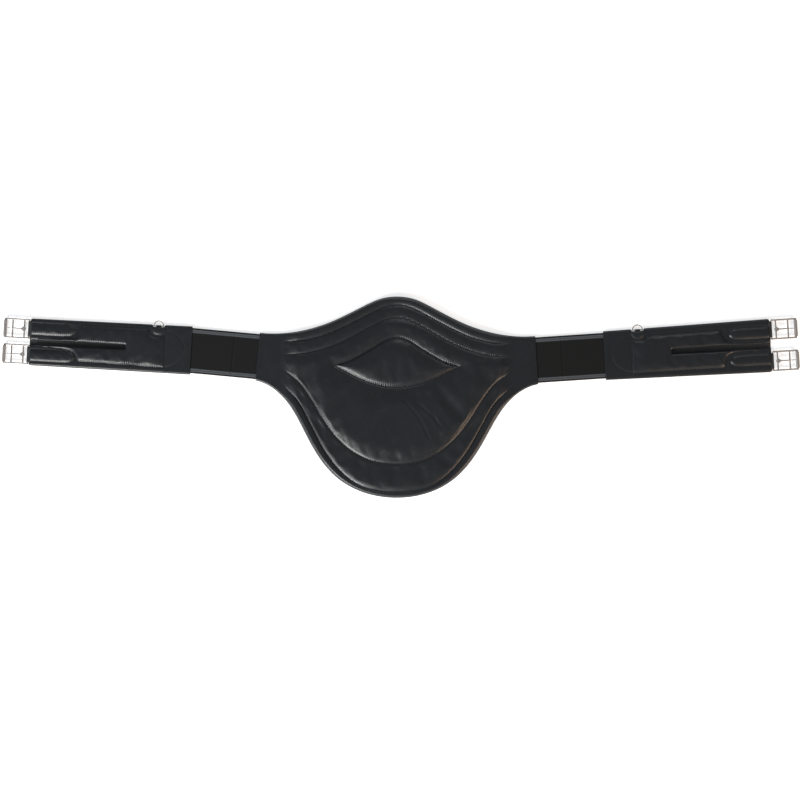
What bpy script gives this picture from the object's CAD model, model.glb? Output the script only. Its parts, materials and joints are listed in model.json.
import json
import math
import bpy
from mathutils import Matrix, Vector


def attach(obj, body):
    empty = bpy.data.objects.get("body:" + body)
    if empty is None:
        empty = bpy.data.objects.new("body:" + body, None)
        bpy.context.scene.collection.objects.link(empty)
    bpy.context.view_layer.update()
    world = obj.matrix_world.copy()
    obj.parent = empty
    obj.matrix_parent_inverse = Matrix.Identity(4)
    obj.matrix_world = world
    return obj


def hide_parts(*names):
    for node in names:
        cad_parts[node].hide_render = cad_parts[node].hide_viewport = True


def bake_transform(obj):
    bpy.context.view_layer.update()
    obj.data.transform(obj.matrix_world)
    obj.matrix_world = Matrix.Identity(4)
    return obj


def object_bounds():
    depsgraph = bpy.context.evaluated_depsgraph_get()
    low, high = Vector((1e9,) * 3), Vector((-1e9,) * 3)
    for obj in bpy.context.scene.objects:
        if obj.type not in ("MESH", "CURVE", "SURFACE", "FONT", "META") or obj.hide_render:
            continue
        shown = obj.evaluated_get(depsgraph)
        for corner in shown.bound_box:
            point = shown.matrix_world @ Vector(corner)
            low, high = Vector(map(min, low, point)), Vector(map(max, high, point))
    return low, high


bl_info = {
    "name": "Belly-guard girth",
    "version": (1, 0, 0),
    "blender": (4, 5, 0),
    "location": "3D View > Sidebar > Girth",
    "description": "Dresses a belly-guard girth with quilted leather, elastic and steel",
    "category": "Object",
}

import bmesh
import bpy
import numpy as np
from bpy.props import FloatProperty, FloatVectorProperty, IntProperty, PointerProperty
from mathutils import Matrix, Vector

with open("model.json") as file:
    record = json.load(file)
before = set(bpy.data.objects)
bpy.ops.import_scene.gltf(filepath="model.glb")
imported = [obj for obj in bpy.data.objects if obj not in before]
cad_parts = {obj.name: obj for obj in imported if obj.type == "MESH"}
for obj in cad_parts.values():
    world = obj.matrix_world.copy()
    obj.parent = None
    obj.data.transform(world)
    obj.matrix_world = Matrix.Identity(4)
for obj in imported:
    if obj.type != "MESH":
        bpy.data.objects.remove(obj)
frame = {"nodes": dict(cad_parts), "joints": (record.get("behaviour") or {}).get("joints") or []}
cad_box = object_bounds()

# Shapes are drawn in millimetres, as the pattern pieces are, and scaled once when they are made.
MM = 0.001
SIDES = ("left", "right")
PRONGS = {"upper": 1, "lower": -1}
MADE = {}

# The buckles' base bars and the dee rings, as the frame has them, and the straps round them.
BAR_HEIGHT, BAR_WIRE = 3.4, 1.3
DEE_PLACE, DEE_INSET, DEE_HEIGHT, DEE_WIRE = 55.0, 1.4, 3.0, 0.9
NOTCH_HALF, NOTCH_DEPTH = 10.2, 2.8
RUNNING_GAP = 0.06
STRAP_WIDTH, STRAP_THICK = 25.0, 0.8
KEEPER_WIDTH, KEEPER_THICK = 8.0, 0.6

# The cloth settings that blow the pads up as leather over foam, and the frames they take.
CLOTH = {"quality": 6, "mass": 0.25, "tension_stiffness": 20, "compression_stiffness": 20,
         "shear_stiffness": 8, "bending_stiffness": 6.0, "shrink_min": -0.006,
         "use_pressure": True, "uniform_pressure_force": 4}
CLOTH_FRAMES = 20

# Half of each sewn line on the guard, from its middle towards the end of the pad.
GUARD_LINES = {
    "front_outer": [(0, 150.4), (20, 146.7), (40, 138.2), (60, 127.5), (80, 117.3), (100, 107.6),
                    (120, 99.2), (140, 93.5), (160, 89.9), (189, 88.7)],
    "front_inner": [(0, 129.3), (20, 125.4), (40, 116.0), (60, 105.1), (80, 94.1), (100, 84.6),
                    (120, 77.1), (140, 72.0), (160, 68.9), (189, 67.3)],
    "eye_front": [(0, 97.0), (20, 91.6), (40, 79.2), (60, 67.2), (80, 57.0), (101, 51.1)],
    "eye_rear": [(0, 16.7), (20, 18.1), (40, 22.7), (60, 30.3), (80, 40.0), (101, 51.1)],
    "rear_inner": [(0, -107.9), (20, -107.0), (40, -103.0), (60, -94.4), (80, -81.2), (100, -62.0),
                   (120, -35.4), (140, -2.9), (160, 23.6), (189, 46.4)],
    "rear_outer": [(0, -153.8), (20, -152.9), (40, -150.0), (60, -142.7), (80, -129.5),
                   (100, -109.4), (120, -81.6), (140, -44.9), (160, -9.4), (189, 22.2)],
}
CREASES = [[(4, 4), (22, -14), (42, -40), (60, -80)], [(24, 0), (46, -18), (68, -40), (84, -62)],
           [(52, -14), (64, -32), (72, -58)]]

# Where the long panel of an arm turns in behind each buckle, from the long edge to the slit.
PANEL_TURNS = {
    "left": {"upper": [(183, 31), (187, 24), (188, 15), (190, 7.5)],
             "lower": [(233, -6.6), (205, -8.4), (195, -13.4), (189, -21), (184, -27)]},
    "right": {"upper": [(187, 28.6), (190, 19), (199, 10.4), (215, 7.8), (255, 5.8)],
              "lower": [(240, -6.6), (208, -7.4), (198, -12), (194, -20), (190, -30)]},
}
PANEL_MARGINS = {"left": {"upper": (7.0, 7.0), "lower": (8.7, 11.4)},
                 "right": {"upper": (12.5, 12.8), "lower": (8.7, 10.9)}}
FINGER_NOSE = {"left": 190.5, "right": 200.5}

# ------------------------------------------------ settings
def measure(name, description, default):
    return FloatProperty(name=name, description=description, default=default, unit="LENGTH")


def tint(name, description, default):
    return FloatVectorProperty(name=name, description=description, default=default,
                               subtype="COLOR", min=0.0, max=1.0)


def angle(name, description, degrees):
    return FloatProperty(name=name, description=description, default=math.radians(degrees),
                         subtype="ANGLE")


class GirthLeather(bpy.types.PropertyGroup):
    colour: tint("Colour", "Colour of the black leather", (0.0085, 0.0102, 0.0125))
    lining_colour: tint("Lining colour", "Colour of the lining leather", (0.020, 0.021, 0.022))
    roughness: FloatProperty(
        name="Roughness", description="Roughness of the finished leather", default=0.36,
        min=0.05, max=1.0, subtype="FACTOR",
    )


class GirthQuilting(bpy.types.PropertyGroup):
    border_top: measure("Border height", "Crest of the padded border", 0.0090)
    centre_top: measure("Centre height", "Crest of the centre panel", 0.0115)
    eye_top: measure("Eye height", "Crest of the raised eye", 0.0140)
    tab_top: measure("Tab height", "Flat ends that hold the elastic", 0.0047)
    edge_top: measure("Edge height", "Top of the rolled edge", 0.0026)
    pucker: measure("Pucker", "Height of the gathers along a sewn line", 0.00055)
    stitch_pitch: measure("Stitch length", "Length of one stitch and its hole", 0.0040)
    thread: measure("Thread", "Thickness of the thread", 0.0007)


class GirthArms(bpy.types.PropertyGroup):
    length: measure("Arm length", "Leather of one arm", 0.2670)
    inner_width: measure("Inner width", "Width of an arm at the elastic", 0.0780)
    prong_width: measure("Prong share", "Leather beyond the buckles' spacing at the end", 0.0340)
    slit_length: measure("Slit length", "Length of the split between the buckles", 0.1580)
    base_bar_offset: measure("Base bar offset", "Leather end to a buckle's base bar", 0.0019)
    facing_length: measure("Facing length", "End piece sewn over the elastic", 0.0420)


class GirthElastic(bpy.types.PropertyGroup):
    width: measure("Width", "Width of the elastic", 0.0740)
    length: measure("Length", "Bare elastic between guard and arm", 0.1110)
    thickness: measure("Thickness", "Thickness of the elastic", 0.0022)
    split: measure("Split", "Where the near and far lengths meet", 0.0420)


class GirthStage(bpy.types.PropertyGroup):
    distance: measure("Camera distance", "Camera to girth", 2.5)
    tilt: angle("Tilt", "Lean of the camera towards the right end", 2.2)
    roll: angle("Roll", "Turn of the camera about its own axis", 0.78)
    lens: FloatProperty(name="Lens", description="Focal length in millimetres", default=69.2)
    floor_cells: IntProperty(
        name="Floor cells", description="Cells along one side of the floor", default=8, min=1,
    )


# ------------------------------------------------ lines and regions
def smooth_line(points, step=2.0):
    """A smooth line through a few points, in short runs."""
    points = np.array(points, float)
    ends = np.vstack([2 * points[0] - points[1], points, 2 * points[-1] - points[-2]])
    out = []
    for a, b, c, d in zip(ends, ends[1:], ends[2:], ends[3:]):
        runs = max(2, int(np.ceil(np.linalg.norm(c - b) / step)))
        t = (np.arange(runs) / runs)[:, None]
        out.append(0.5 * (2 * b + (c - a) * t + (2 * a - 5 * b + 4 * c - d) * t ** 2
                          + (3 * b - a - 3 * c + d) * t ** 3))
    return np.vstack(out + [points[-1:]])


def both_halves(half):
    """A line drawn for the right half, with its mirror, from left to right."""
    return [(-x, y) for x, y in reversed(half[1:])] + list(half)


def nearest(points, line):
    """How far each point is from a line, and how far along the line that is."""
    start, run = line[:-1], line[1:] - line[:-1]
    square = np.maximum((run ** 2).sum(1), 1e-9)
    before = np.concatenate([[0.0], np.cumsum(np.sqrt(square))[:-1]])
    far, along = np.empty(len(points)), np.empty(len(points))
    for first in range(0, len(points), 8192):
        part = slice(first, first + 8192)
        gap = points[part, None, :] - start
        t = np.clip((gap * run).sum(2) / square, 0.0, 1.0)
        away = ((gap - t[..., None] * run) ** 2).sum(2)
        k = away.argmin(1)
        rows = np.arange(len(k))
        far[part] = np.sqrt(away[rows, k])
        along[part] = before[k] + t[rows, k] * np.sqrt(square[k])
    return far, along


def inside(points, loop):
    """Whether each point is within a closed line."""
    x, y = points.T
    odd = np.zeros(len(points), bool)
    for (x0, y0), (x1, y1) in zip(loop, np.roll(loop, -1, axis=0)):
        crosses = (y0 > y) != (y1 > y)
        odd ^= crosses & (x < (x1 - x0) * (y - y0) / (y1 - y0 + 1e-12) + x0)
    return odd


def rounded(t):
    """The rise of a padded edge: steep at the seam and level at the crest."""
    t = np.clip(t, 0.0, 1.0)
    return np.sqrt(1.0 - (1.0 - t) ** 2)


def eased(t):
    t = np.clip(t, 0.0, 1.0)
    return t * t * (3.0 - 2.0 * t)


def wander(along, step, seed):
    """A smooth random value from -1 to 1 along a line."""
    knots = np.random.default_rng(seed).uniform(-1.0, 1.0, 4096)
    place = np.abs(along) / step
    k = place.astype(int)
    return knots[k] + (knots[k + 1] - knots[k]) * eased(place - k)


def waves(points, size, seed):
    """Gentle unevenness across a hide, from a few crossing swells."""
    rng = np.random.default_rng(seed)
    total = np.zeros(len(points))
    for _ in range(9):
        way = rng.uniform(0, 2 * math.pi)
        length = size * rng.uniform(0.6, 1.7)
        turn = np.array([math.cos(way), math.sin(way)]) * 2 * math.pi / length
        total += np.sin(points @ turn + rng.uniform(0, 2 * math.pi))
    return total / 9


def gathers(far, along, pitch, seed, reach=3.4):
    """Puckers of the leather beside a stitched line, one to a stitch and none alike."""
    strength = 0.55 + 0.45 * wander(along, 17.0, seed)
    phase = 1.4 * wander(along, 11.0, seed + 1)
    return strength * np.exp(-far / reach) * np.cos(2 * math.pi * along / pitch + phase)


# ------------------------------------------------ making meshes
def ringed_grid(columns, rows, rings):
    """A grid with extra rings outside it for its rolled edge: the mesh, u, v and rings passed."""
    bm = bmesh.new()
    wide, deep = columns + 2 * rings, rows + 2 * rings
    bmesh.ops.create_grid(bm, x_segments=wide, y_segments=deep, size=0.5)
    place = np.array([v.co[:2] for v in bm.verts]) + 0.5
    i = np.rint(place[:, 0] * wide) - rings
    j = np.rint(place[:, 1] * deep) - rings
    past = np.stack([i - np.clip(i, 0, columns), j - np.clip(j, 0, rows)], axis=1)
    return bm, np.clip(i, 0, columns), np.clip(j, 0, rows), past


def move_to(bm, places):
    for vert, place in zip(bm.verts, places * MM):
        vert.co = place


def make_piece(bm, name, material, smooth=True, merge=1e-6, recalc=True):
    """Closes a bmesh into an object that sits at the origin."""
    bmesh.ops.remove_doubles(bm, verts=bm.verts[:], dist=merge)
    if recalc:
        bmesh.ops.recalc_face_normals(bm, faces=bm.faces[:])
    for face in bm.faces:
        face.smooth = smooth
    mesh = bpy.data.meshes.new(name)
    bm.to_mesh(mesh)
    bm.free()
    mesh.materials.append(material)
    piece = bpy.data.objects.new(name, mesh)
    bpy.context.scene.collection.objects.link(piece)
    return piece


def face_up(bm, up=1):
    """Turns an open sheet so that it faces up, or down for up = -1."""
    bm.normal_update()
    total = sum(face.normal.z * face.calc_area() for face in bm.faces)
    if total * up < 0:
        bmesh.ops.reverse_faces(bm, faces=bm.faces[:])


def outward(place, u, v, past, nudge=0.002):
    """The sideways way out of a pattern piece at its edge."""
    here = place(u, v)
    inner_u = place(np.clip(u - np.sign(past[:, 0]) * nudge, 0, 1), v)
    inner_v = place(u, np.clip(v - np.sign(past[:, 1]) * nudge, 0, 1))
    along_u = place(np.clip(u + nudge, 0, 1), v) - place(np.clip(u - nudge, 0, 1), v)
    along_v = place(u, np.clip(v + nudge, 0, 1)) - place(u, np.clip(v - nudge, 0, 1))
    total = np.zeros_like(here)
    for axis, inner, edge in ((0, inner_u, along_v), (1, inner_v, along_u)):
        out = here - inner
        edge = edge / np.maximum(np.linalg.norm(edge, axis=1), 1e-9)[:, None]
        out -= (out * edge).sum(1)[:, None] * edge
        out /= np.maximum(np.linalg.norm(out, axis=1), 1e-9)[:, None]
        total += out * (past[:, axis] != 0)[:, None]
    return total / np.maximum(np.linalg.norm(total, axis=1), 1e-9)[:, None]


def swell(name, columns, rows, surface, sewn, reach):
    """Blows a sewn sheet up with cloth pressure, and gives how far each of its points moves."""
    moves = np.zeros((rows + 1, columns + 1, 3))
    bm, i, j, _ = ringed_grid(columns, rows, 0)
    start = surface(i / columns, j / rows)
    move_to(bm, start)
    mesh = bpy.data.meshes.new(name)
    bm.to_mesh(mesh)
    bm.free()
    sheet = bpy.data.objects.new(name, mesh)
    scene = bpy.context.scene
    scene.collection.objects.link(sheet)
    held = sheet.vertex_groups.new(name="sewn")
    held.add([int(k) for k in np.flatnonzero(sewn(start[:, :2]))], 1.0, "REPLACE")
    cloth = sheet.modifiers.new("Cloth", "CLOTH")
    cloth.settings.vertex_group_mass = held.name
    for key, value in CLOTH.items():
        setattr(cloth.settings, key, value)
    cloth.settings.effector_weights.gravity = 0
    for frame_number in range(1, CLOTH_FRAMES + 1):
        scene.frame_set(frame_number)
    cut = sheet.evaluated_get(bpy.context.evaluated_depsgraph_get()).to_mesh()
    place = np.empty(len(start) * 3)
    cut.vertices.foreach_get("co", place)
    moved = place.reshape(-1, 3) / MM - start
    moves[j.astype(int), i.astype(int)] = np.clip(moved, -reach, reach)
    bpy.data.objects.remove(sheet)
    scene.frame_set(1)
    return moves


def spread(moves, u, v):
    """Carries a coarse sheet's moves to any point of the fine one, with no kinks."""
    rows, columns = moves.shape[0] - 1, moves.shape[1] - 1
    total = np.zeros((len(u), 3))

    def shares(t):
        return [(1 - t) ** 3 / 6, (3 * t ** 3 - 6 * t ** 2 + 4) / 6,
                (3 * t ** 2 + 3 * t + 1 - 3 * t ** 3) / 6, t ** 3 / 6]

    x, y = u * columns, v * rows
    i, j = np.minimum(x.astype(int), columns - 1), np.minimum(y.astype(int), rows - 1)
    for a, across in enumerate(shares(x - i)):
        for b, up in enumerate(shares(y - j)):
            cell = moves[np.clip(j + b - 1, 0, rows), np.clip(i + a - 1, 0, columns)]
            total += cell * (across * up)[:, None]
    return total


# ------------------------------------------------ places from the frame
def joint(name):
    return next(j for j in frame["joints"] if j["name"] == name)


def way_out(side, across):
    """The way along the girth, from its middle to the end on this side."""
    way = np.array([across[1], -across[0]])
    return -way if side == "left" else way


def arm_frame(side):
    """Inner end, way out and way across of an arm, in millimetres, with its buckles' spacing."""
    sizes = bpy.context.scene.girth_arms
    upper, lower = (
        np.array(joint(f"{side}_{prong}_buckle_swing")["pos_m"][:2]) / MM for prong in PRONGS
    )
    spacing = np.linalg.norm(upper - lower)
    across = (upper - lower) / spacing
    way = way_out(side, across)
    reach = (sizes.length + sizes.base_bar_offset) / MM
    return (upper + lower) / 2 - way * reach, way, across, spacing


def elastic_frame(side, fold_reach=20.0):
    """The middle of the guard's end on one side, and the ways along and across the elastic."""
    fold = joint(f"{side}_elastic_fold")
    across = np.array(fold["axis"][:2])
    across = across * np.sign(across[1])
    way = way_out(side, across)
    return np.array(fold["pos_m"][:2]) / MM - way * fold_reach, way, across


# ------------------------------------------------ finishes
def once(make):
    """Makes a finish or a shared effect when first asked for, under its function's name."""
    def ask():
        name = make.__name__
        if name not in MADE:
            MADE[name] = make(name)
        return MADE[name]
    ask.__name__ = make.__name__
    return ask


def finish(coordinates):
    """A material whose nodes are laid by a function, on object coordinates or a UV map."""
    def takes(lay):
        def make(name):
            material = bpy.data.materials.new(name)
            material.use_nodes = True
            tree = material.node_tree
            if coordinates == "Object":
                where = add(tree, "ShaderNodeTexCoord").outputs["Object"]
            else:
                where = add(tree, "ShaderNodeUVMap", {"uv_map": coordinates}).outputs["UV"]
            lay(tree, where)
            return material
        make.__name__ = lay.__name__
        return once(make)
    return takes


def feed(tree, node, **inputs):
    """Sets or links a node's inputs, each named by its label or, as in _0, by its number."""
    for key, value in inputs.items():
        socket = node.inputs[int(key[1:]) if key[0] == "_" else key.replace("_", " ")]
        if isinstance(value, bpy.types.Node):
            value = value.outputs[0]
        if isinstance(value, bpy.types.NodeSocket):
            tree.links.new(value, socket)
        else:
            socket.default_value = value


def add(tree, kind, settings=None, **inputs):
    node = tree.nodes.new(kind)
    for key, value in (settings or {}).items():
        setattr(node, key, value)
    feed(tree, node, **inputs)
    return node


def maths(tree, operation, first, second=0.0):
    return add(tree, "ShaderNodeMath", {"operation": operation}, _0=first, _1=second)


def noise(tree, where, scale, detail, roughness=0.5):
    return add(tree, "ShaderNodeTexNoise", Vector=where, Scale=scale, Detail=detail,
               Roughness=roughness)


def ranged(tree, value, low=0.0, high=1.0, to_low=0.0, to_high=1.0):
    return add(tree, "ShaderNodeMapRange", Value=value, From_Min=low, From_Max=high,
               To_Min=to_low, To_Max=to_high)


def mixed(tree, factor, dark, light):
    """A colour between two, by a mask."""
    blend = add(tree, "ShaderNodeMix", {"data_type": "RGBA"}, _0=factor, _6=(*dark, 1.0),
                _7=(*light, 1.0))
    return blend.outputs[2]


def new_group(name, inputs, outputs):
    """A node group: its inputs are a vector, given as None, or numbers, its outputs numbers."""
    tree = bpy.data.node_groups.new(name, "ShaderNodeTree")
    for label, value in inputs.items():
        kind = "NodeSocketVector" if value is None else "NodeSocketFloat"
        socket = tree.interface.new_socket(name=label, in_out="INPUT", socket_type=kind)
        if value is not None:
            socket.default_value = value
    for label in outputs:
        tree.interface.new_socket(name=label, in_out="OUTPUT", socket_type="NodeSocketFloat")
    return tree, tree.nodes.new("NodeGroupInput").outputs, tree.nodes.new("NodeGroupOutput")


@once
def hide_grain(name):
    """Pebbled grain of a finished hide, its uneven colour and the places where it is rubbed."""
    tree, given, out = new_group(name, {"Vector": None, "Pebble": 900.0},
                                 ("Height", "Tone", "Wear"))
    where = given["Vector"]
    bend = noise(tree, where, 420.0, 2.0).outputs["Color"]
    shift = add(tree, "ShaderNodeVectorMath", {"operation": "SCALE"}, _0=bend, Scale=0.0009)
    moved = add(tree, "ShaderNodeVectorMath", {"operation": "ADD"}, _0=where, _1=shift)
    cells = add(tree, "ShaderNodeTexVoronoi", {"feature": "SMOOTH_F1"}, Vector=moved,
                Scale=given["Pebble"], Smoothness=0.6)
    fine = maths(tree, "MULTIPLY", noise(tree, where, 2600.0, 2.0), 0.35)
    rub = noise(tree, where, 95.0, 6.0, 0.68)
    feed(tree, out, Height=maths(tree, "SUBTRACT", fine, cells),
         Tone=noise(tree, where, 34.0, 4.0), Wear=ranged(tree, rub, 0.52, 0.74))
    return tree


@once
def woven_ribs(name):
    """Ribs along a woven band crossed by its picks."""
    tree, given, out = new_group(name, {"Vector": None, "Ribs": 6.0, "Picks": 9.0},
                                 ("Height", "Tone"))
    run = add(tree, "ShaderNodeSeparateXYZ", Vector=given["Vector"]).outputs
    ribs = maths(tree, "SINE", maths(tree, "MULTIPLY", run["Y"], given["Ribs"]))
    row = maths(tree, "MULTIPLY", maths(tree, "SIGN", ribs), 1.57)
    along = maths(tree, "MULTIPLY", run["X"], given["Picks"])
    picks = maths(tree, "SINE", maths(tree, "ADD", along, row))
    fuzz = noise(tree, given["Vector"], 3.0, 3.0)
    total = maths(tree, "ADD", maths(tree, "ABSOLUTE", ribs), maths(tree, "MULTIPLY", picks, 0.3))
    feed(tree, out, Height=maths(tree, "ADD", total, fuzz), Tone=fuzz)
    return tree


@once
def polish_marks(name):
    """Fine polishing lines and handling marks on plated steel."""
    tree, given, out = new_group(name, {"Vector": None, "Scale": 160.0}, ("Height", "Tone"))
    drawn = add(tree, "ShaderNodeMapping", Vector=given["Vector"], Scale=(1.0, 9.0, 3.0))
    feed(tree, out, Height=noise(tree, drawn, given["Scale"], 4.0),
         Tone=noise(tree, given["Vector"], 420.0, 3.0))
    return tree


def marked(tree, group, where, **values):
    """A shared effect placed in a material with its own values."""
    return add(tree, "ShaderNodeGroup", {"node_tree": group}, Vector=where, **values).outputs


def dress(tree, height, strength, distance, **inputs):
    """Gives a material's shader its inputs and its fine relief."""
    bump = add(tree, "ShaderNodeBump", Strength=strength, Distance=distance, Height=height)
    feed(tree, tree.nodes["Principled BSDF"], Normal=bump, **inputs)


def leather(tree, where, colour, roughness, pebble, relief):
    grain = marked(tree, hide_grain(), where, Pebble=pebble)
    light = tuple(1.5 * c for c in colour)
    worn = min(1.0, roughness + 0.14)
    dress(tree, grain["Height"], 0.5, relief, Specular_IOR_Level=0.42,
          Base_Color=mixed(tree, grain["Tone"], colour, light),
          Roughness=ranged(tree, grain["Wear"], to_low=roughness, to_high=worn))


@finish("Object")
def black_hide(tree, where):
    look = bpy.context.scene.girth_leather
    leather(tree, where, tuple(look.colour), look.roughness, 900.0, 0.00012)


@finish("Object")
def lining_hide(tree, where):
    look = bpy.context.scene.girth_leather
    leather(tree, where, tuple(look.lining_colour), 0.58, 620.0, 0.0002)


@finish("Object")
def waxed_thread(tree, where):
    twist = add(tree, "ShaderNodeTexWave", Vector=where, Scale=900.0, Distortion=1.5)
    strand = twist.outputs["Fac"]
    dress(tree, strand, 0.4, 0.0001, Roughness=0.5,
          Base_Color=mixed(tree, strand, (0.006, 0.007, 0.008), (0.022, 0.024, 0.026)))


@finish("run")
def ribbed_elastic(tree, where):
    """Black elastic with a grey stripe of two cords along each edge."""
    weave = marked(tree, woven_ribs(), where, Ribs=5.2, Picks=7.0)
    across = maths(tree, "ABSOLUTE",
                   add(tree, "ShaderNodeSeparateXYZ", Vector=where).outputs["Y"])
    near = maths(tree, "ABSOLUTE", maths(tree, "SUBTRACT", across, 31.8))
    cords = maths(tree, "ABSOLUTE", maths(tree, "SUBTRACT", near, 1.4))
    grey = maths(tree, "MULTIPLY", ranged(tree, near, 2.6, 3.3, 1.0, 0.0),
                 ranged(tree, cords, 0.6, 1.5, 1.0, 0.25))
    dress(tree, weave["Height"], 0.35, 0.00018, Specular_IOR_Level=0.25,
          Base_Color=mixed(tree, grey, (0.0050, 0.0056, 0.0060), (0.082, 0.090, 0.102)),
          Roughness=ranged(tree, grey, to_low=0.82, to_high=0.42))


def webbing(tree, where, scale):
    """Woven webbing; scale is how many millimetres one unit of its coordinates is."""
    weave = marked(tree, woven_ribs(), where, Ribs=4.0 * scale, Picks=5.0 * scale)
    dress(tree, weave["Height"], 0.6, 0.0002, Roughness=0.7,
          Base_Color=mixed(tree, weave["Tone"], (0.010, 0.011, 0.012), (0.026, 0.028, 0.030)))


@finish("run")
def woven_webbing(tree, where):
    webbing(tree, where, 1.0)


@finish("Object")
def hidden_webbing(tree, where):
    webbing(tree, where, 1000.0)


@finish("Object")
def plated_steel(tree, where):
    marks = marked(tree, polish_marks(), where, Scale=160.0)
    dress(tree, marks["Height"], 0.25, 0.00006, Metallic=0.6,
          Base_Color=mixed(tree, marks["Tone"], (0.30, 0.287, 0.281), (0.42, 0.402, 0.393)),
          Roughness=ranged(tree, marks["Tone"], 0.3, 0.7, 0.42, 0.54))


@finish("Object")
def pressed_board(tree, where):
    fibre = noise(tree, where, 900.0, 5.0)
    dress(tree, fibre, 0.4, 0.0002, Roughness=0.8,
          Base_Color=mixed(tree, fibre, (0.06, 0.05, 0.04), (0.14, 0.12, 0.10)))


@finish("Object")
def floor_paper(tree, _):
    feed(tree, tree.nodes["Principled BSDF"], Base_Color=(0.9, 0.9, 0.9, 1.0), Roughness=0.9,
         Emission_Color=(1.0, 1.0, 1.0, 1.0), Emission_Strength=0.55)


# ------------------------------------------------ stitches
def sew(bm, line, height, place, slant=0.16):
    """Lays one stitch after another along a line, on the surface that height gives."""
    sizes = bpy.context.scene.girth_quilting
    pitch = sizes.stitch_pitch / MM
    runs = np.linalg.norm(np.diff(line, axis=0), axis=1)
    along = np.concatenate([[0.0], np.cumsum(runs)])
    count = int(along[-1] / pitch)
    stations = (np.arange(count) + 0.5) * along[-1] / max(count, 1)
    middle = np.column_stack([np.interp(stations, along, line[:, k]) for k in (0, 1)])
    ahead = np.column_stack([np.interp(stations + 0.5, along, line[:, k]) for k in (0, 1)])
    tops = height(middle)
    seats = place(np.column_stack([middle, tops]))
    ways = place(np.column_stack([ahead, tops])) - seats
    shape = Matrix.Diagonal((0.39 * pitch * MM, sizes.thread / 2, sizes.thread / 2, 1))
    for first in range(0, len(seats), 24):
        row = bmesh.new()
        for seat, way in zip(seats[first:first + 24], ways[first:first + 24]):
            turn = math.atan2(way[1], way[0]) + slant
            where = (Matrix.Translation(Vector(seat) * MM) @ Matrix.Rotation(turn, 4, "Z")
                     @ shape)
            bmesh.ops.create_uvsphere(row, u_segments=6, v_segments=4, radius=1.0, matrix=where)
        sewn = bpy.data.meshes.new("row")
        row.to_mesh(sewn)
        row.free()
        bm.from_mesh(sewn)
        bpy.data.meshes.remove(sewn)


def sewn_rows(name, body, pattern, lines, above, under):
    """One piece of thread: every line's stitches on the cover and again on the lining."""
    bm = bmesh.new()
    for line in lines:
        sew(bm, line, lambda p: pattern.height(p, gathered=False) + above, pattern.laid)
        sew(bm, line, lambda p: np.full(len(p), under), pattern.laid)
    thread = make_piece(bm, name, waxed_thread())
    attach(thread, body)
    return thread


# ------------------------------------------------ quilted sheets
class Sheet:
    """A pattern piece cut as a fine grid, with rings outside it for its rolled edge."""

    def __init__(self, pattern, columns, rows, rings):
        self.pattern = pattern
        self.columns = columns
        self.bm, self.i, self.j, self.past = ringed_grid(columns, rows, rings)
        self.u, self.v = self.i / columns, self.j / rows
        self.flat = pattern.place(self.u, self.v)
        self.ring = np.abs(self.past).max(1).astype(int)

    def by_ring(self, values):
        return np.array(values)[self.ring]

    def blown(self, name, columns, rows, reach, free, share):
        """How far the swelling pads carry each point that is free of its seams."""
        def soft(u, v):
            place = self.pattern.place(u, v)
            return np.column_stack([place, self.pattern.height(place, gathered=False)])

        coarse = swell(name, columns, rows, soft, self.pattern.sewn, reach)
        moves = spread(coarse, self.u, self.v)
        return moves * (free * (self.ring == 0))[:, None] * np.array([share, share, 1.0])

    def rolled(self, height, bulge, fall):
        """The points at a height, with the rings bulging out and falling away."""
        out = outward(self.pattern.place, self.u, self.v, self.past)
        wide = self.by_ring(bulge) * self.pattern.rim_room(self.flat)
        return np.column_stack([self.flat + out * wide[:, None], height - fall])

    def lay(self, places):
        move_to(self.bm, self.pattern.laid(places))

    def finished(self, name, material, up=1):
        face_up(self.bm, up)
        return make_piece(self.bm, name, material, recalc=False)


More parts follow.
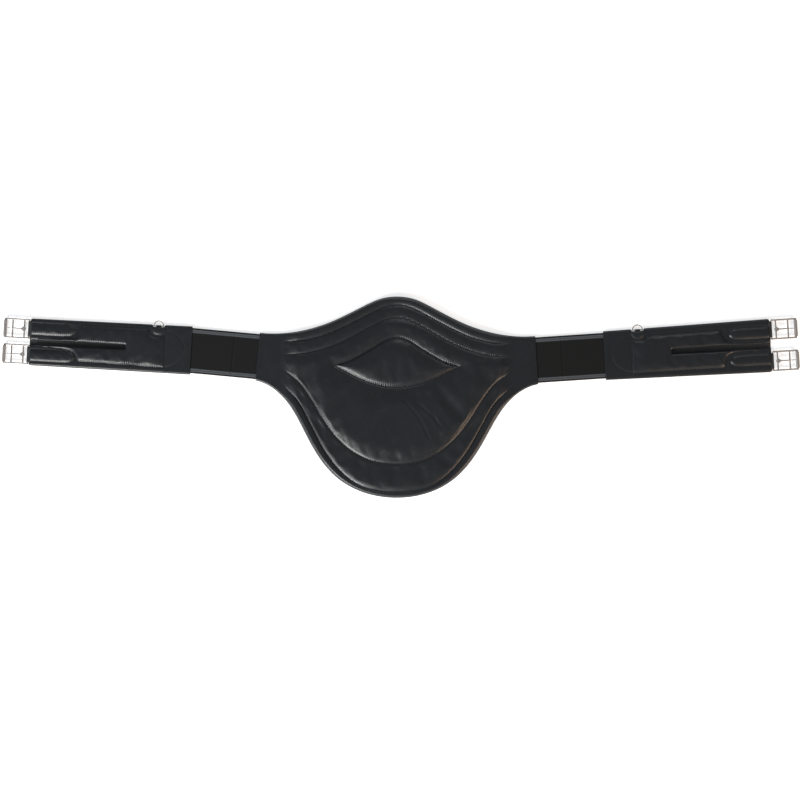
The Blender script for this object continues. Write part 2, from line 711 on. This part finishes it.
# ------------------------------------------------ the guard
class GuardPattern:
    """The guard's outline, sewn lines and padded height, in millimetres."""

    def __init__(self):
        self.sizes = bpy.context.scene.girth_quilting
        lining = frame["nodes"]["guard_lining"].data.vertices
        points = np.array([v.co[:2] for v in lining]) / MM
        middle = elastic_frame("right")[0][1]
        self.edges = {}
        for name, chosen in (("front", points[:, 1] > middle), ("rear", points[:, 1] < middle)):
            edge = points[chosen]
            edge = edge[np.argsort(edge[:, 0])]
            stations = np.linspace(edge[0, 0], edge[-1, 0], 41)
            drawn = np.column_stack([stations, np.interp(stations, edge[:, 0], edge[:, 1])])
            self.edges[name] = smooth_line(drawn, 6.0)
        self.pad_half = 187.0
        self.last = None
        self.lines = {name: smooth_line(both_halves(half), 4.5)
                      for name, half in GUARD_LINES.items()}
        self.creases = [smooth_line(line, 2.0) for line in CREASES]

    def place(self, u, v):
        flat = []
        for edge in (self.edges["rear"], self.edges["front"]):
            x = edge[0, 0] + (edge[-1, 0] - edge[0, 0]) * u
            flat.append(np.column_stack([x, np.interp(x, edge[:, 0], edge[:, 1])]))
        return flat[0] + (flat[1] - flat[0]) * v[:, None]

    def laid(self, points):
        return points

    def rim_room(self, points):
        return np.ones(len(points))

    def distances(self, points):
        """Distances to each sewn line, to the nearest and to the edge, kept for the last points."""
        if self.last is None or self.last[0] is not points:
            far = {name: nearest(points, line) for name, line in self.lines.items()}
            near = np.minimum.reduce([d for d, _ in far.values()])
            edge = np.minimum(*(nearest(points, self.edges[name])[0] for name in self.edges))
            self.last = (points, far, near, edge)
        return self.last[1:]

    def height(self, points, gathered=True):
        """The top of the padded leather, with or without its gathers."""
        sizes = self.sizes
        far, near, edge = self.distances(points)
        lines = self.lines
        eye = inside(points, np.vstack([lines["eye_front"], lines["eye_rear"][::-1]]))
        centre = inside(points, np.vstack([lines["front_inner"], lines["rear_inner"][::-1]]))
        border, middle, raised = sizes.border_top / MM, sizes.centre_top / MM, sizes.eye_top / MM
        top = np.where(eye, raised, np.where(centre, middle, border))
        shoulder = np.where(eye, 21.0, np.where(centre, 19.0, 9.5))
        outer = np.minimum(far["front_outer"][0], far["rear_outer"][0]) <= near + 1e-9
        floor = np.where(outer, 4.9, 6.2)
        pad = floor + (top - floor) * rounded(near / shoulder)
        if gathered:
            puckers = np.zeros(len(points))
            right = eased((points[:, 0] + 40) / 120)
            strengths = {"front_inner": 0.5 + 0.9 * right, "eye_front": 0.35 + 1.2 * right,
                         "front_outer": 0.45 + 0.5 * right, "rear_inner": 0.55, "rear_outer": 0.45,
                         "eye_rear": 0.4 + 0.9 * eased(1 - np.abs(points[:, 0]) / 60)}
            for seed, (name, (d, s)) in enumerate(far.items()):
                puckers += gathers(d, s, 3.6, 10 * seed) * strengths[name] * (d <= near + 6)
            pad += puckers * sizes.pucker / MM
            pad += 0.34 * waves(points, 46.0, 5) * eased(near / 18)
            for line in self.creases:
                d, s = nearest(points, line)
                run = np.linalg.norm(np.diff(line, axis=0), axis=1).sum()
                fold = 0.26 * np.exp(-((d - 4.0) / 3.2) ** 2) - 0.34 * np.exp(-(d / 2.3) ** 2)
                pad += eased(s / 22) * eased((run - s) / 26) * fold
        rim = sizes.edge_top / MM
        pad = rim + (pad - rim) * rounded(edge / 6.5)
        tab = rim + (sizes.tab_top / MM - rim) * rounded(edge / 3.0)
        end = eased((self.pad_half + 5 - np.abs(points[:, 0])) / 32.0)
        return tab + (pad - tab) * end

    def sewn(self, points):
        _, near, edge = self.distances(points)
        return (near < 4.0) | (edge < 6.0) | (np.abs(points[:, 0]) > self.pad_half - 5)


def guard_cover(pattern):
    sheet = Sheet(pattern, 420, 220, 4)
    top = pattern.height(sheet.flat)
    _, near, edge = pattern.distances(sheet.flat)
    free = eased((near - 1.5) / 7) * eased((edge - 3) / 6)
    free *= eased((pattern.pad_half - np.abs(sheet.flat[:, 0])) / 8)
    moves = sheet.blown("guard_swell", 104, 60, 2.2, free, 0.6)
    fall = np.where(sheet.past[:, 0] != 0, sheet.by_ring([0.0, 0.2, 0.55, 0.9, 1.15]),
                    sheet.by_ring([0.0, 0.25, 0.75, 1.25, 1.6]))
    sheet.lay(sheet.rolled(top, [0.0, 0.45, 0.8, 0.8, 0.3], fall) + moves)
    cover = sheet.finished("guard_quilted_cover", black_hide())
    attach(cover, "belly_guard")
    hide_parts("guard_cover", "guard_border_foam", "guard_centre_foam", "guard_eye_foam")


def guard_underside(pattern):
    sheet = Sheet(pattern, 210, 120, 3)
    _, near, edge = pattern.distances(sheet.flat)
    dimple = 0.75 * np.exp(-(near / 2.4) ** 2) + 0.5 * (1 - rounded(edge / 3.5))
    rise = np.clip(0.22 + 0.2 * waves(sheet.flat, 60.0, 8), 0, 1) + dimple
    sheet.lay(sheet.rolled(rise, [0.0, 0.35, 0.35, 0.0],
                           -sheet.by_ring([0.0, 0.15, 0.5, 0.75])))
    lining = sheet.finished("guard_soft_lining", lining_hide(), -1)
    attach(lining, "belly_guard")
    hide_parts("guard_lining", "guard_lining_foam")


def guard_stitches(pattern):
    rows = list(pattern.lines.values())
    half = np.linspace(-36.5, 36.5, 40)[:, None]
    for side in SIDES:
        seat, way, across = elastic_frame(side)
        rows.append(seat - way * 4.4 + half * across)
    sewn_rows("guard_thread", "belly_guard", pattern, rows, 0.22, 0.75)


# ------------------------------------------------ the arms
class ArmPattern:
    """One arm in its own frame: x from its inner end outwards, y across it."""

    def __init__(self, side):
        sizes = bpy.context.scene.girth_arms
        self.side = side
        self.seat, self.way, self.across, self.spacing = arm_frame(side)
        self.length = sizes.length / MM
        self.inner = sizes.inner_width / MM
        self.outer = self.spacing + sizes.prong_width / MM
        self.slit_start = self.length - sizes.slit_length / MM
        self.facing = sizes.facing_length / MM
        self.rows = (34, 5, 34)
        self.panel = self.panel_line()
        self.fingers = {name: self.finger_line(prong) for name, prong in PRONGS.items()}
        self.arc = smooth_line([(42.5, 30), (30, 26.5), (18, 17), (11, 0), (18, -17), (30, -26.5),
                                (42.5, -30)])

    def half(self, x):
        return (self.inner + (self.outer - self.inner) * x / self.length) / 2

    def edge(self, x, prong):
        """The long edge on one side, with its rounded corner and the notch for the dee."""
        corner = 3.5
        past = np.clip(x - (self.length - corner), 0, corner)
        y = self.half(x) - corner + np.sqrt(np.maximum(corner ** 2 - past ** 2, 0))
        if prong > 0:
            y = y - NOTCH_DEPTH * eased((NOTCH_HALF - np.abs(x - DEE_PLACE)) / 0.9)
        return prong * y

    def rim_room(self, points):
        """Nothing where the rim would bulge into the dee's notch, and one elsewhere."""
        x, y = points.T
        return 1 - eased(NOTCH_HALF + 2 - np.abs(x - DEE_PLACE)) * (y > 0)

    def slit_half(self, x):
        return 2.5 + 1.5 * np.clip((x - self.slit_start) / (self.length - self.slit_start), 0, 1)

    def place(self, u, v):
        """From the arm's inner end (u) and its rear edge (v, in rows) to its own frame."""
        x = u * self.length
        lower, middle, upper = self.rows
        row = v * sum(self.rows)
        slit = self.slit_half(x)
        bottom, top = self.edge(x, -1), self.edge(x, 1)
        y = np.where(
            row <= lower, bottom + (-slit - bottom) * row / lower,
            np.where(row <= lower + middle, slit * (2 * (row - lower) / middle - 1),
                     slit + (top - slit) * (row - lower - middle) / upper))
        return np.column_stack([x, y])

    def panel_line(self):
        """The seams of the long panel: by the rear edge, by the front edge, and round the dee."""
        margins, turns = PANEL_MARGINS[self.side], PANEL_TURNS[self.side]

        def inset(name, x):
            near, far = margins[name]
            gap = near + (far - near) * (x - 46) / 140
            return (x, PRONGS[name] * (self.half(x) - gap))

        start = self.facing + 2.5
        rear = [inset("lower", x) for x in (start, 80, 120, 150, 172)]
        front = [inset("upper", x) for x in (172, 150, 120, 90, 76)]
        dee_y = self.half(DEE_PLACE)
        pocket = [(71.5, front[-1][1] - 1.5), (69.5, dee_y - 13), (63, dee_y - 18.5),
                  (53, dee_y - 19), (46, dee_y - 16.5)]
        return {"rear": smooth_line(rear + turns["lower"][::-1]),
                "front": smooth_line(turns["upper"][::-1] + front),
                "pocket": smooth_line(pocket, 1.5)}

    def finger_line(self, prong):
        """The round-nosed seam behind a buckle."""
        nose, middle, half = FINGER_NOSE[self.side], prong * 21.6, 9.3
        end = self.length - 2.0
        back = [(end, middle + half), (nose + 40, middle + half), (nose + 16, middle + half - 0.3)]
        tip = [(nose + 5, middle + half * 0.72), (nose, middle), (nose + 5, middle - half * 0.72)]
        out = [(nose + 16, middle - half + 0.3), (nose + 40, middle - half), (end, middle - half)]
        return smooth_line(back + tip + out)

    def slit_line(self):
        end = self.length + 1
        return np.array([(end, self.slit_half(end)), (self.slit_start, 2.5),
                         (self.slit_start, -2.5), (end, -self.slit_half(end))])

    def region(self):
        """The closed outline of the raised panel, round the slit."""
        rear, front, pocket = self.panel["rear"], self.panel["front"], self.panel["pocket"]
        slit = self.slit_line()
        last = self.length + 1
        return np.vstack([rear, [(last, -4.2)], slit[::-1], [(last, 4.2)], front, pocket])

    def distances(self, points):
        """How far each point is from the arm's edge, and from the slit."""
        x = np.linspace(0, self.length, 140)
        rear, front = (np.column_stack([x, self.edge(x, prong)]) for prong in (-1, 1))
        edge = np.minimum(nearest(points, rear)[0], nearest(points, front)[0])
        edge = np.minimum(edge, self.length - points[:, 0])
        return np.maximum(edge, 0), nearest(points, self.slit_line())[0]

    def near(self, points):
        """How far each point is from the nearest seam of the panel and the fingers."""
        lines = [*self.panel.values(), *self.fingers.values()]
        return np.minimum.reduce([nearest(points, line)[0] for line in lines])

    def height(self, points, gathered=True):
        """The top of the padded leather, with or without its gathers."""
        sizes = bpy.context.scene.girth_quilting
        pucker = sizes.pucker / MM
        edge, slit = self.distances(points)
        x, y = points.T
        left = self.side == "left"
        panel_lines = {name: nearest(points, line) for name, line in self.panel.items()}
        join = np.abs(x - self.facing)
        near = np.minimum.reduce([d for d, _ in panel_lines.values()])
        within = inside(points, self.region()) & (x > self.facing)
        depth = np.minimum(near, slit + 1.5)
        seam, flange, root, crest = 3.9, 5.0, 4.7, 8.2
        filled = 0.55 + 0.45 * eased((x - self.facing) / 26)
        raised = seam + (crest * filled + root * (1 - filled) - seam) * rounded(depth / 7.5)
        outside = seam + (flange - seam) * rounded(near / 3.5)
        top = np.where(within, raised, outside)
        finger_seam, finger_crest = 3.8, 7.4
        for name, line in self.fingers.items():
            d, s = nearest(points, line)
            pad = inside(points, np.vstack([line, line[:1]]))
            rise = finger_seam + (finger_crest - finger_seam) * rounded(d / 7.5)
            ring = finger_seam + (top - finger_seam) * rounded(d / 3.2)
            top = np.where(pad, rise, ring)
            if gathered:
                top += pucker * gathers(d, s, 3.4, 40 + len(name)) * np.where(
                    pad, 1.0 if left and PRONGS[name] > 0 else 0.4, 0.2)
        boss = (np.abs((x - DEE_PLACE) / 11.0) ** 2.6
                + np.abs((self.half(DEE_PLACE) - y) / 15.5) ** 2.6) ** (1 / 2.6)
        top += 1.5 * (y > 0) * rounded((1 - boss) * 1.9)
        if gathered:
            strong = eased((118 - x) / 14) if left else 0.0
            d, s = panel_lines["rear"]
            top += pucker * gathers(d, s, 3.6, 60, 4.2) * (0.5 + 2.0 * strong) * (x > self.facing)
            d, s = panel_lines["front"]
            top += pucker * gathers(d, s, 3.6, 62) * 0.45
            beside = eased((x - self.slit_start + 4) / 6) * eased((198 - x) / 20)
            top += pucker * gathers(slit, x, 3.5, 66, 4.5) * beside * np.where(
                y > 0, 1.3 if left else 0.5, 0.35)
            top += 0.22 * waves(points, 34.0, 31 if left else 32) * eased(near / 9) * within
        rim = sizes.edge_top / MM
        top = rim + (top - rim) * rounded(edge / 4.2)
        lip = 2.6
        slot = np.where(x > self.slit_start - 8, rounded((slit + 0.01) / 5.0), 1.0)
        top = lip + (top - lip) * slot
        arc = nearest(points, self.arc)[0]
        flat_end = 4.75 + 0.45 * rounded(arc / 5) * inside(points, self.arc)
        flat_end += 0.05 - 0.5 * np.exp(-(arc / 0.8) ** 2)
        flat_end = rim + (flat_end - rim) * rounded(edge / 3.0)
        blend = eased((x - self.facing + 1.2) / 2.4)
        top = flat_end + (top - flat_end) * blend
        return top - 0.3 * np.exp(-(join / 0.8) ** 2)

    def sewn(self, points):
        edge, slit = self.distances(points)
        return ((self.near(points) < 2.4) | (edge < 4) | (slit < 3)
                | (points[:, 0] < self.facing + 4))

    def laid(self, points):
        """Points of the arm's own frame, laid in their place."""
        flat = self.seat + points[:, :1] * self.way + points[:, 1:2] * self.across
        return np.column_stack([flat, points[:, 2]])


def split_prongs(sheet):
    """Opens the slit between the prongs, and gives the edges round it."""
    lower, middle, _ = sheet.pattern.rows
    start = round(sheet.pattern.slit_start / sheet.pattern.length * sheet.columns)
    open_at = ((sheet.i >= start) & (sheet.j >= lower) & (sheet.j <= lower + middle)
               & (sheet.past[:, 1] == 0))
    bm = sheet.bm
    bm.verts.ensure_lookup_table()
    marked = {bm.verts[int(k)] for k in np.flatnonzero(open_at)}
    gone = [face for face in bm.faces if all(v in marked for v in face.verts)]
    lips = dict.fromkeys(e for face in gone for e in face.edges)
    bmesh.ops.delete(bm, geom=gone, context="FACES")
    return [e for e in lips if e.is_valid and len(e.link_faces) == 1]


def arm_cover(pattern):
    sheet = Sheet(pattern, 267, sum(pattern.rows), 4)
    flat = sheet.flat
    top = pattern.height(flat)
    edge, slit = pattern.distances(flat)
    free = eased((pattern.near(flat) - 0.8) / 5) * eased((edge - 2) / 4) * eased((slit - 2) / 4)
    free *= eased((flat[:, 0] - pattern.facing - 2) / 6)
    moves = sheet.blown(f"{pattern.side}_arm_swell", 90, 26, 1.2, free, 0.5)
    fall = np.where(sheet.past[:, 0] < 0, sheet.by_ring([0.0, 0.2, 0.5, 0.9, 1.2]),
                    sheet.by_ring([0.0, 0.2, 0.7, 1.2, 1.6]))
    sheet.lay(sheet.rolled(top, [0.0, 0.35, 0.6, 0.6, 0.2], fall) + moves)
    walls = bmesh.ops.extrude_edge_only(sheet.bm, edges=split_prongs(sheet))["geom"]
    for vert in (g for g in walls if isinstance(g, bmesh.types.BMVert)):
        vert.co.z = min(vert.co.z, 1.0 * MM)
    cover = sheet.finished(f"{pattern.side}_arm_quilted_cover", black_hide())
    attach(cover, f"{pattern.side}_arm")
    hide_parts(*(f"{pattern.side}_{node}" for node in (
        "arm_cover", "end_facing", "arm_foam", "upper_finger_foam", "lower_finger_foam")))


def arm_underside(pattern):
    sheet = Sheet(pattern, 267, sum(pattern.rows), 3)
    edge, _ = pattern.distances(sheet.flat)
    rise = 0.2 + 0.12 * waves(sheet.flat, 40.0, 12)
    rise = np.clip(rise + 0.6 * np.exp(-(pattern.near(sheet.flat) / 1.8) ** 2), 0.02, 1)
    sheet.lay(sheet.rolled(rise + 0.4 * (1 - rounded(edge / 3)), [0.0, 0.3, 0.3, 0.0],
                           -sheet.by_ring([0.0, 0.15, 0.45, 0.7])))
    lining = sheet.finished(f"{pattern.side}_arm_soft_lining", lining_hide(), -1)
    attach(lining, f"{pattern.side}_arm")
    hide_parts(f"{pattern.side}_arm_lining")


def slit_gusset(pattern):
    """The lining's upper face, seen between the prongs, drawn in a little from their ends."""
    bm = bmesh.new()
    bmesh.ops.create_grid(bm, x_segments=110, y_segments=8, size=0.5)
    local = np.array([v.co[:2] for v in bm.verts])
    start, end = pattern.slit_start - 4, pattern.length - 1.2
    flat = np.column_stack([start + (local[:, 0] + 0.5) * (end - start), local[:, 1] * 15])
    sag = 1.25 + 0.16 * waves(flat, 18.0, 21) + 0.25 * (local[:, 1] * 2) ** 2
    move_to(bm, pattern.laid(np.column_stack([flat, sag])))
    face_up(bm)
    gusset = make_piece(bm, f"{pattern.side}_slit_gusset", lining_hide(), recalc=False)
    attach(gusset, f"{pattern.side}_arm")


def arm_stitches(pattern):
    rows = [*pattern.panel.values(), *pattern.fingers.values(), pattern.arc]
    for x, half in ((pattern.facing + 2.2, 35), (4.6, 37)):
        rows.append(np.column_stack([np.full(30, x), np.linspace(-half, half, 30)]))
    rows = [row[row[:, 0] < pattern.length - 3] for row in rows]
    sewn_rows(f"{pattern.side}_arm_thread", f"{pattern.side}_arm", pattern, rows, 0.2, 0.6)


# ------------------------------------------------ elastic, webbing and tabs
def band(name, side, start, end, half, bottom, thick):
    """A length of ribbed elastic with rounded edges, and its own run of the weave."""
    seat, way, across = elastic_frame(side)
    bm = bmesh.new()
    layer = bm.loops.layers.uv.new("run")
    bmesh.ops.create_grid(bm, x_segments=max(4, int((end - start) / 2.0)), y_segments=60, size=0.5)
    grown = bmesh.ops.extrude_face_region(bm, geom=bm.faces[:], use_keep_orig=True)["geom"]
    upper = {g for g in grown if isinstance(g, bmesh.types.BMVert)}
    for vert in bm.verts:
        x = start + (vert.co.x + 0.5) * (end - start)
        y = vert.co.y * 2 * half
        drop = 0.7 * (1 - float(rounded((half - abs(y)) / 1.6)))
        bead = 0.22 * math.exp(-((abs(abs(y) - (half - 5.2)) - 1.5) / 0.9) ** 2)
        z = bottom + thick - drop + bead if vert in upper else bottom + drop
        for loop in vert.link_loops:
            loop[layer].uv = (x, y)
        flat = seat + x * way + y * across
        vert.co = (flat[0] * MM, flat[1] * MM, z * MM)
    return make_piece(bm, name, ribbed_elastic())


def elastic_pieces(side):
    sizes = bpy.context.scene.girth_elastic
    seat, way, _ = elastic_frame(side)
    half, thick = sizes.width / MM / 2, sizes.thickness / MM
    length, split = sizes.length / MM, sizes.split / MM

    near = band(f"{side}_elastic_near", side, -26.0, split, half, 1.2, thick)
    far = band(f"{side}_elastic_far", side, split, length + 20.0, half, 1.2, thick)
    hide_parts(f"{side}_elastic_root")
    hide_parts(f"{side}_elastic_band")
    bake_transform(near)
    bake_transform(far)


def strap_round_bar(name, pattern, run, bar, radius, thick, width, ends, material):
    """A strap folded round a bar: spun half round it, and its two plies drawn back from there."""
    bm = bmesh.new()
    cells = max(2, int(width / 2))
    row = [bm.verts.new((0.0, (k / cells - 0.5) * width, radius)) for k in range(cells + 1)]
    edges = [bm.edges.new(pair) for pair in zip(row, row[1:])]
    spun = bmesh.ops.spin(bm, geom=row + edges, cent=(0, 0, 0), axis=(0, 1, 0), angle=math.pi,
                          steps=12, dvec=(0, 0, 0), use_duplicate=False)["geom_last"]
    last = [g for g in spun if isinstance(g, bmesh.types.BMEdge)]
    for lip, stops in zip((edges, last), ends):
        for x, z in stops:
            drawn = bmesh.ops.extrude_edge_only(bm, edges=lip)["geom"]
            for vert in (g for g in drawn if isinstance(g, bmesh.types.BMVert)):
                vert.co.x, vert.co.z = x, z
            lip = [g for g in drawn if isinstance(g, bmesh.types.BMEdge)
                   and all(abs(v.co.x - x) < 1e-6 for v in g.verts)]
    bmesh.ops.recalc_face_normals(bm, faces=bm.faces[:])
    bmesh.ops.solidify(bm, geom=bm.faces[:], thickness=thick)
    layer = bm.loops.layers.uv.new("run")
    for vert in bm.verts:
        x, y, z = vert.co
        for loop in vert.link_loops:
            loop[layer].uv = (x + z, y)
        local = np.array([[bar[0] + run[0] * x + run[1] * y, bar[1] + run[1] * x + run[0] * y,
                           bar[2] + z]])
        vert.co = Vector(pattern.laid(local)[0]) * MM
    return make_piece(bm, name, material)


def buckle_strap(pattern, name, prong):
    offset = bpy.context.scene.girth_arms.base_bar_offset / MM
    bar = (pattern.length + offset, prong * pattern.spacing / 2, BAR_HEIGHT)
    ends = ([(-16.0, -0.4), (-40.0, -0.7)], [(-16.0, -1.2), (-40.0, -1.5)])
    strap = strap_round_bar(
        f"{pattern.side}_{name}_buckle_strap", pattern, (1, 0), bar,
        BAR_WIRE + RUNNING_GAP + STRAP_THICK / 2, STRAP_THICK, STRAP_WIDTH, ends, woven_webbing())
    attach(strap, f"{pattern.side}_arm")
    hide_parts(f"{pattern.side}_{name}_buckle_web")


def dee_keeper(pattern):
    bar = (DEE_PLACE, pattern.half(DEE_PLACE) - DEE_INSET, DEE_HEIGHT)
    ends = ([(-5.0, 0.9), (-13.0, 1.0)], [(-5.0, 0.2), (-13.0, 0.3)])
    tab = strap_round_bar(
        f"{pattern.side}_dee_keeper", pattern, (0, 1), bar,
        DEE_WIRE + RUNNING_GAP + KEEPER_THICK / 2, KEEPER_THICK, KEEPER_WIDTH, ends, black_hide())
    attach(tab, f"{pattern.side}_arm")
    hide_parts(f"{pattern.side}_dee_tab")


# ------------------------------------------------ stage
def studio_light(name, place, target, size, energy, colour):
    lamp = bpy.data.lights.new(name, "AREA")
    lamp.shape = "RECTANGLE"
    lamp.size, lamp.size_y = size
    lamp.energy = energy
    lamp.color = colour
    body = bpy.data.objects.new(name, lamp)
    body.location = place
    body.rotation_euler = (Vector(target) - Vector(place)).to_track_quat("-Z", "Y").to_euler()
    bpy.context.scene.collection.objects.link(body)


def studio():
    scene = bpy.context.scene
    sizes = scene.girth_stage
    bm = bmesh.new()
    bmesh.ops.create_grid(bm, x_segments=sizes.floor_cells, y_segments=sizes.floor_cells, size=6)
    bmesh.ops.translate(bm, verts=bm.verts[:], vec=(0, 0, -0.0004))
    floor = make_piece(bm, "studio_floor", floor_paper(), recalc=False)

    world = bpy.data.worlds.new("studio_air")
    scene.world = world
    world.use_nodes = True
    air = world.node_tree
    light = air.nodes["Background"]
    feed(air, light, Color=(0.93, 0.96, 1.0, 1.0), Strength=0.27)
    paper = add(air, "ShaderNodeBackground", Color=(1.0, 1.0, 1.0, 1.0), Strength=0.93)
    seen = add(air, "ShaderNodeMixShader", _0=add(air, "ShaderNodeLightPath"), _1=light, _2=paper)
    feed(air, air.nodes["World Output"], Surface=seen)

    studio_light("key", (-1.5, -1.9, 1.15), (0, 0, 0), (1.5, 0.9), 102, (1.0, 0.99, 0.97))
    studio_light("warm_fill", (1.9, -1.4, 0.9), (0.1, 0, 0), (1.2, 0.7), 30, (1.0, 0.70, 0.48))
    studio_light("back", (0.3, 2.4, 1.5), (0, 0, 0), (1.6, 0.5), 12, (0.9, 0.95, 1.0))

    # The camera stands almost straight over the girth and leans a little to its right end.
    low, high = (Vector(corner) for corner in cad_box)
    centre = (low + high) / 2 + Vector((0.0060, -0.0045, 0.0))
    eye = centre + sizes.distance * Vector((math.sin(sizes.tilt), 0.0, math.cos(sizes.tilt)))
    back = (eye - centre).normalized()
    side = (Vector((1, 0, 0)) - back * back.x).normalized()
    side.rotate(Matrix.Rotation(sizes.roll, 3, back))
    up = back.cross(side)
    camera = bpy.data.objects.new("camera", bpy.data.cameras.new("camera"))
    camera.data.sensor_width = 36.0
    camera.data.lens = sizes.lens
    camera.data.clip_end = 50.0
    camera.matrix_world = Matrix((
        (side.x, up.x, back.x, eye.x), (side.y, up.y, back.y, eye.y),
        (side.z, up.z, back.z, eye.z), (0, 0, 0, 1)))
    scene.collection.objects.link(camera)
    scene.camera = camera
    scene.view_settings.view_transform = "Standard"


# ------------------------------------------------ operators
class GIRTH_OT_studio(bpy.types.Operator):
    """Sets the pale floor, the soft lights and the camera"""
    bl_idname = "girth.studio"
    bl_label = "Studio"

    def execute(self, context):
        studio()
        return {"FINISHED"}


class GIRTH_OT_guard(bpy.types.Operator):
    """Makes the quilted belly guard, its lining and its stitches"""
    bl_idname = "girth.guard"
    bl_label = "Belly guard"

    def execute(self, context):
        pattern = GuardPattern()
        guard_cover(pattern)
        guard_underside(pattern)
        guard_stitches(pattern)
        return {"FINISHED"}


class GIRTH_OT_arms(bpy.types.Operator):
    """Makes the quilted leather arms, their linings and their stitches"""
    bl_idname = "girth.arms"
    bl_label = "Arms"

    def execute(self, context):
        for side in SIDES:
            pattern = ArmPattern(side)
            arm_cover(pattern)
            arm_underside(pattern)
            slit_gusset(pattern)
            arm_stitches(pattern)
        return {"FINISHED"}


class GIRTH_OT_elastic(bpy.types.Operator):
    """Makes the elastic bands between the guard and the arms"""
    bl_idname = "girth.elastic"
    bl_label = "Elastic"

    def execute(self, context):
        for side in SIDES:
            elastic_pieces(side)
        return {"FINISHED"}


class GIRTH_OT_straps(bpy.types.Operator):
    """Folds the webbing round the buckles and the tabs round the dee rings"""
    bl_idname = "girth.straps"
    bl_label = "Buckle straps"

    def execute(self, context):
        for side in SIDES:
            pattern = ArmPattern(side)
            for name, prong in PRONGS.items():
                buckle_strap(pattern, name, prong)
            dee_keeper(pattern)
        return {"FINISHED"}


class GIRTH_OT_hardware(bpy.types.Operator):
    """Gives the buckles, dee rings, stiffener and load web their finishes"""
    bl_idname = "girth.hardware"
    bl_label = "Hardware finishes"

    def execute(self, context):
        finishes = {"guard_load_web": hidden_webbing(), "guard_stiffener": pressed_board()}
        for side in SIDES:
            finishes[f"{side}_dee_ring"] = plated_steel()
            for prong in PRONGS:
                for part in ("frame", "roller", "tongue"):
                    finishes[f"{side}_{prong}_buckle_{part}"] = plated_steel()
        for name, finish in finishes.items():
            node = frame["nodes"][name]
            for slot in node.material_slots:
                slot.link = "OBJECT"
                slot.material = finish
        return {"FINISHED"}


class GIRTH_PT_panel(bpy.types.Panel):
    """Lists the makers of the girth"""
    bl_label = "Girth"
    bl_idname = "GIRTH_PT_panel"
    bl_space_type = "VIEW_3D"
    bl_region_type = "UI"
    bl_category = "Girth"

    def draw(self, context):
        for operator in OPERATORS:
            self.layout.operator(operator.bl_idname)
        for name, group in SETTINGS.items():
            box = self.layout.box()
            for key in group.__annotations__:
                box.prop(getattr(context.scene, name), key)


OPERATORS = (GIRTH_OT_studio, GIRTH_OT_guard, GIRTH_OT_arms, GIRTH_OT_elastic, GIRTH_OT_straps,
             GIRTH_OT_hardware)
SETTINGS = {"girth_leather": GirthLeather, "girth_quilting": GirthQuilting,
            "girth_arms": GirthArms, "girth_elastic": GirthElastic, "girth_stage": GirthStage}
CLASSES = (*SETTINGS.values(), *OPERATORS, GIRTH_PT_panel)


def register():
    for group in CLASSES:
        bpy.utils.register_class(group)
    for name, group in SETTINGS.items():
        setattr(bpy.types.Scene, name, PointerProperty(type=group))


def unregister():
    for name in SETTINGS:
        delattr(bpy.types.Scene, name)
    for group in reversed(CLASSES):
        bpy.utils.unregister_class(group)


def main():
    register()
    for operator in OPERATORS:
        part, name = operator.bl_idname.split(".")
        getattr(getattr(bpy.ops, part), name)()


if __name__ == "__main__":
    main()
